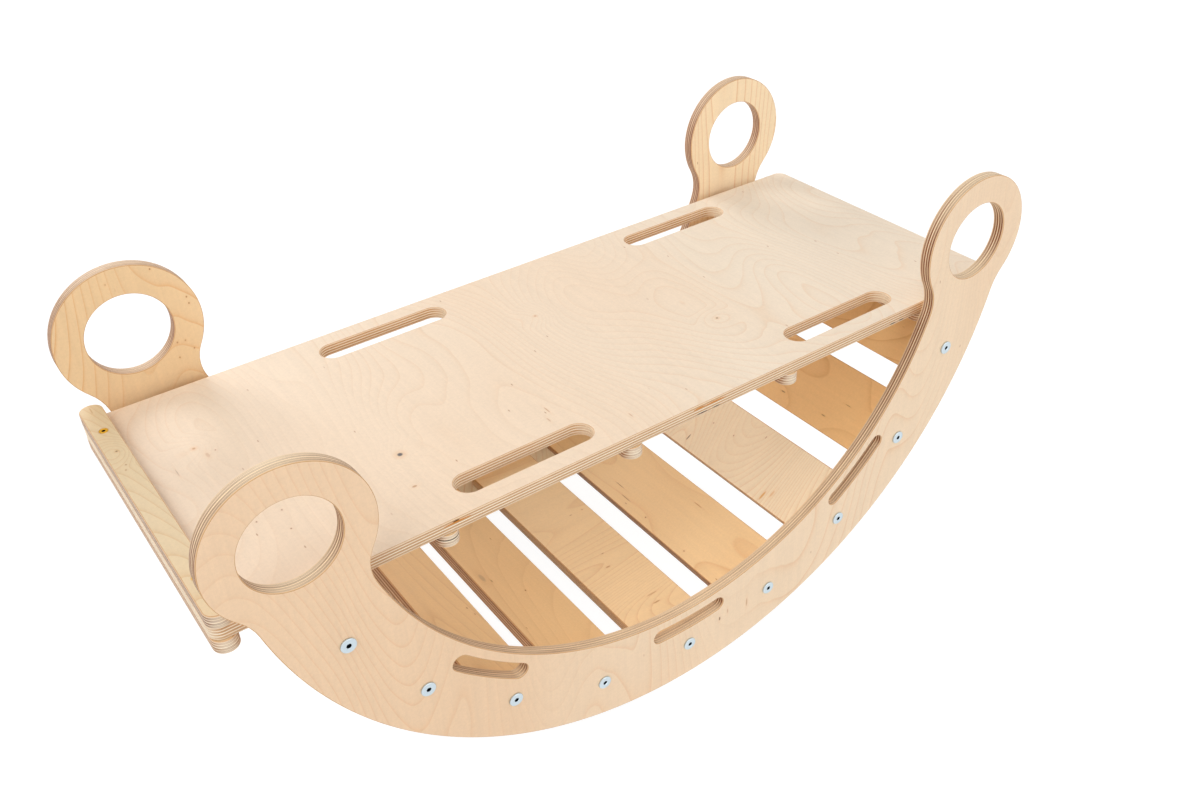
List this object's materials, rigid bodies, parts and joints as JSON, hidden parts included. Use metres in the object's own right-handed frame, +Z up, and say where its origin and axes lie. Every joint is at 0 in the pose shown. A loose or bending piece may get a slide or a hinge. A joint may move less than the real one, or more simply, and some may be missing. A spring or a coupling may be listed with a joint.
{
  "type": "toddler climbing rocker",
  "caption": "Wooden climbing rocker: crescent side panels with ring tips, bolted slats between them, and a loose slotted board with battens resting across the top.",
  "frame": {"origin": "on the floor under the middle of the rocker", "axes": "+X along the rocker towards the end without the top batten, +Y from the near panel to the far panel, +Z up"},
  "size_m": [0.8308, 0.3636, 0.4249],
  "materials": {
    "panel_birch": "fine-sanded pale birch plywood, laser-cut brown edges",
    "slat_birch": "fine-sanded golden birch plywood, laser-cut brown edges",
    "board_birch": "fine-sanded cream birch plywood",
    "batten_birch": "fine-sanded birch plywood, laser-cut brown edges",
    "white_zinc": "bluish-white zinc plating, faint turned rings",
    "plain_steel": "plain turned steel",
    "yellow_zinc": "yellow zinc plating"
  },
  "bodies": {
    "rocker": {"side_panel_near": "panel_birch", "side_panel_far": "panel_birch", "slat_1": "slat_birch", "slat_2": "slat_birch", "slat_3": "slat_birch", "slat_4": "slat_birch", "slat_5": "slat_birch", "slat_6": "slat_birch", "slat_7": "slat_birch", "slat_8": "slat_birch", "slat_9": "slat_birch", "bolt_near_1": "white_zinc", "bolt_near_2": "white_zinc", "bolt_near_3": "white_zinc", "bolt_near_4": "white_zinc", "bolt_near_5": "white_zinc", "bolt_near_6": "white_zinc", "bolt_near_7": "white_zinc", "bolt_near_8": "white_zinc", "bolt_near_9": "white_zinc", "bolt_far_1": "white_zinc", "bolt_far_2": "white_zinc", "bolt_far_3": "white_zinc", "bolt_far_4": "white_zinc", "bolt_far_5": "white_zinc", "bolt_far_6": "white_zinc", "bolt_far_7": "white_zinc", "bolt_far_8": "white_zinc", "bolt_far_9": "white_zinc", "barrel_nut_near_1": "plain_steel", "barrel_nut_near_2": "plain_steel", "barrel_nut_near_3": "plain_steel", "barrel_nut_near_4": "plain_steel", "barrel_nut_near_5": "plain_steel", "barrel_nut_near_6": "plain_steel", "barrel_nut_near_7": "plain_steel", "barrel_nut_near_8": "plain_steel", "barrel_nut_near_9": "plain_steel", "barrel_nut_far_1": "plain_steel", "barrel_nut_far_2": "plain_steel", "barrel_nut_far_3": "plain_steel", "barrel_nut_far_4": "plain_steel", "barrel_nut_far_5": "plain_steel", "barrel_nut_far_6": "plain_steel", "barrel_nut_far_7": "plain_steel", "barrel_nut_far_8": "plain_steel", "barrel_nut_far_9": "plain_steel"},
    "loose_board": {"board": "board_birch", "board_top_batten": "batten_birch", "board_cleat_1": "batten_birch", "board_cleat_2": "batten_birch", "board_cleat_3": "batten_birch", "board_cleat_4": "batten_birch", "board_cleat_5": "batten_birch", "batten_screw_near": "yellow_zinc", "batten_screw_far": "yellow_zinc"}
  },
  "joints": [
    {"name": "board_lift", "type": "slide", "parent": "rocker", "child": "loose_board", "axis": [0, 0, 1], "range_m": [0, 0.16]}
  ]
}
